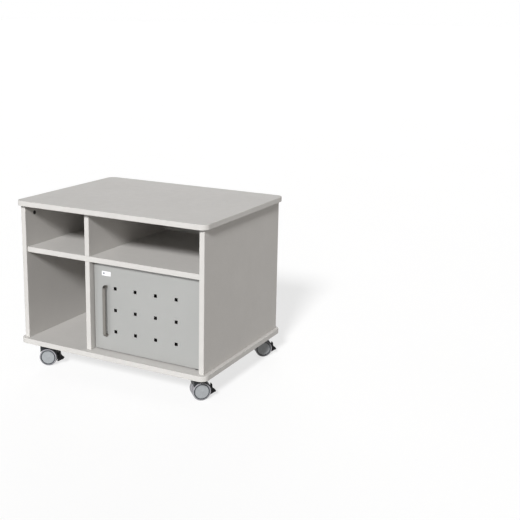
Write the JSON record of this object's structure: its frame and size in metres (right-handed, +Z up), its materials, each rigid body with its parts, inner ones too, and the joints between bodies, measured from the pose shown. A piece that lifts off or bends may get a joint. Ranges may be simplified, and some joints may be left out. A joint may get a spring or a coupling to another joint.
{
  "type": "mobile printer stand",
  "caption": "Mobile printer stand: board cabinet with open compartments, a hinged perforated steel door and braked swivel casters.",
  "frame": {"origin": "on the floor, under the middle of the top board's plan", "axes": "+Z up, -Y towards the open front, +X to the right seen from the front"},
  "size_m": [0.8, 0.6, 0.633],
  "materials": {
    "board": "light grey melamine-faced chipboard, satin",
    "edge_band": "off-white ABS edge band, satin",
    "door_steel": "silver-grey powder coat, satin",
    "handle_nickel": "satin nickel",
    "zinc_steel": "zinc plated",
    "label_film": "white film, blank",
    "black_nylon": "black moulded nylon",
    "wheel_nylon": "light grey moulded nylon",
    "soft_tread": "light grey soft tread"
  },
  "bodies": {
    "carcass": {"top_panel": "board", "bottom_panel": "board", "left_side_panel": "board", "right_side_panel": "board", "middle_shelf": "board", "upper_divider": "board", "lower_divider": "board", "back_panel": "board", "top_edge_band": "edge_band", "bottom_edge_band": "edge_band", "left_side_edge_band": "edge_band", "right_side_edge_band": "edge_band", "shelf_edge_band": "edge_band", "upper_divider_edge_band": "edge_band", "lower_divider_edge_band": "edge_band", "left_front_cam_fitting": "zinc_steel", "left_rear_cam_fitting": "zinc_steel", "right_front_cam_fitting": "zinc_steel", "right_rear_cam_fitting": "zinc_steel", "lower_pivot_bracket": "zinc_steel", "upper_pivot_bracket": "zinc_steel", "magnetic_catch": "black_nylon", "front_left_caster_plate": "zinc_steel", "front_right_caster_plate": "zinc_steel", "rear_left_caster_plate": "zinc_steel", "rear_right_caster_plate": "zinc_steel"},
    "door": {"door_panel": "door_steel", "door_handle": "handle_nickel", "door_label": "label_film", "lower_handle_screw": "zinc_steel", "upper_handle_screw": "zinc_steel"},
    "front_left_swivel": {"front_left_caster_hood": "black_nylon", "front_left_caster_axle": "zinc_steel"},
    "front_left_outer_roller": {"front_left_outer_wheel": "wheel_nylon", "front_left_outer_tread": "soft_tread"},
    "front_left_inner_roller": {"front_left_inner_wheel": "wheel_nylon", "front_left_inner_tread": "soft_tread"},
    "front_left_brake": {"front_left_brake_lever": "black_nylon"},
    "front_right_swivel": {"front_right_caster_hood": "black_nylon", "front_right_caster_axle": "zinc_steel"},
    "front_right_outer_roller": {"front_right_outer_wheel": "wheel_nylon", "front_right_outer_tread": "soft_tread"},
    "front_right_inner_roller": {"front_right_inner_wheel": "wheel_nylon", "front_right_inner_tread": "soft_tread"},
    "front_right_brake": {"front_right_brake_lever": "black_nylon"},
    "rear_left_swivel": {"rear_left_caster_hood": "black_nylon", "rear_left_caster_axle": "zinc_steel"},
    "rear_left_outer_roller": {"rear_left_outer_wheel": "wheel_nylon", "rear_left_outer_tread": "soft_tread"},
    "rear_left_inner_roller": {"rear_left_inner_wheel": "wheel_nylon", "rear_left_inner_tread": "soft_tread"},
    "rear_left_brake": {"rear_left_brake_lever": "black_nylon"},
    "rear_right_swivel": {"rear_right_caster_hood": "black_nylon", "rear_right_caster_axle": "zinc_steel"},
    "rear_right_outer_roller": {"rear_right_outer_wheel": "wheel_nylon", "rear_right_outer_tread": "soft_tread"},
    "rear_right_inner_roller": {"rear_right_inner_wheel": "wheel_nylon", "rear_right_inner_tread": "soft_tread"},
    "rear_right_brake": {"rear_right_brake_lever": "black_nylon"}
  },
  "joints": [
    {"name": "door_hinge", "type": "hinge", "parent": "carcass", "child": "door", "pos_m": [0.35, -0.245, 0.271], "axis": [0, 0, 1], "range_deg": [0, 100]},
    {"name": "front_left_swivel_turn", "type": "hinge", "parent": "carcass", "child": "front_left_swivel", "pos_m": [-0.33, -0.244, 0.08], "axis": [0, 0, 1], "continuous": true},
    {"name": "front_left_outer_spin", "type": "hinge", "parent": "front_left_swivel", "child": "front_left_outer_roller", "pos_m": [-0.31264, -0.23627, 0.0325], "axis": [-0.4067, 0.9135, 0], "continuous": true},
    {"name": "front_left_inner_spin", "type": "hinge", "parent": "front_left_swivel", "child": "front_left_inner_roller", "pos_m": [-0.31264, -0.23627, 0.0325], "axis": [-0.4067, 0.9135, 0], "continuous": true},
    {"name": "front_left_brake_press", "type": "hinge", "parent": "front_left_swivel", "child": "front_left_brake", "pos_m": [-0.27838, -0.22102, 0.0245], "axis": [-0.4067, 0.9135, 0], "range_deg": [0, 10]},
    {"name": "front_right_swivel_turn", "type": "hinge", "parent": "carcass", "child": "front_right_swivel", "pos_m": [0.33, -0.244, 0.08], "axis": [0, 0, 1], "continuous": true},
    {"name": "front_right_outer_spin", "type": "hinge", "parent": "front_right_swivel", "child": "front_right_outer_roller", "pos_m": [0.34367, -0.2308, 0.0325], "axis": [-0.6947, 0.7193, 0], "continuous": true},
    {"name": "front_right_inner_spin", "type": "hinge", "parent": "front_right_swivel", "child": "front_right_inner_roller", "pos_m": [0.34367, -0.2308, 0.0325], "axis": [-0.6947, 0.7193, 0], "continuous": true},
    {"name": "front_right_brake_press", "type": "hinge", "parent": "front_right_swivel", "child": "front_right_brake", "pos_m": [0.37064, -0.20475, 0.0245], "axis": [-0.6947, 0.7193, 0], "range_deg": [0, 10]},
    {"name": "rear_left_swivel_turn", "type": "hinge", "parent": "carcass", "child": "rear_left_swivel", "pos_m": [-0.33, 0.24, 0.08], "axis": [0, 0, 1], "continuous": true},
    {"name": "rear_left_outer_spin", "type": "hinge", "parent": "rear_left_swivel", "child": "rear_left_outer_roller", "pos_m": [-0.31406, 0.25035, 0.0325], "axis": [-0.5446, 0.8387, 0], "continuous": true},
    {"name": "rear_left_inner_spin", "type": "hinge", "parent": "rear_left_swivel", "child": "rear_left_inner_roller", "pos_m": [-0.31406, 0.25035, 0.0325], "axis": [-0.5446, 0.8387, 0], "continuous": true},
    {"name": "rear_left_brake_press", "type": "hinge", "parent": "rear_left_swivel", "child": "rear_left_brake", "pos_m": [-0.28262, 0.27077, 0.0245], "axis": [-0.5446, 0.8387, 0], "range_deg": [0, 10]},
    {"name": "rear_right_swivel_turn", "type": "hinge", "parent": "carcass", "child": "rear_right_swivel", "pos_m": [0.33, 0.24, 0.08], "axis": [0, 0, 1], "continuous": true},
    {"name": "rear_right_outer_spin", "type": "hinge", "parent": "rear_right_swivel", "child": "rear_right_outer_roller", "pos_m": [0.34456, 0.25221, 0.0325], "axis": [-0.6428, 0.766, 0], "continuous": true},
    {"name": "rear_right_inner_spin", "type": "hinge", "parent": "rear_right_swivel", "child": "rear_right_inner_roller", "pos_m": [0.34456, 0.25221, 0.0325], "axis": [-0.6428, 0.766, 0], "continuous": true},
    {"name": "rear_right_brake_press", "type": "hinge", "parent": "rear_right_swivel", "child": "rear_right_brake", "pos_m": [0.37328, 0.27632, 0.0245], "axis": [-0.6428, 0.766, 0], "range_deg": [0, 10]}
  ]
}
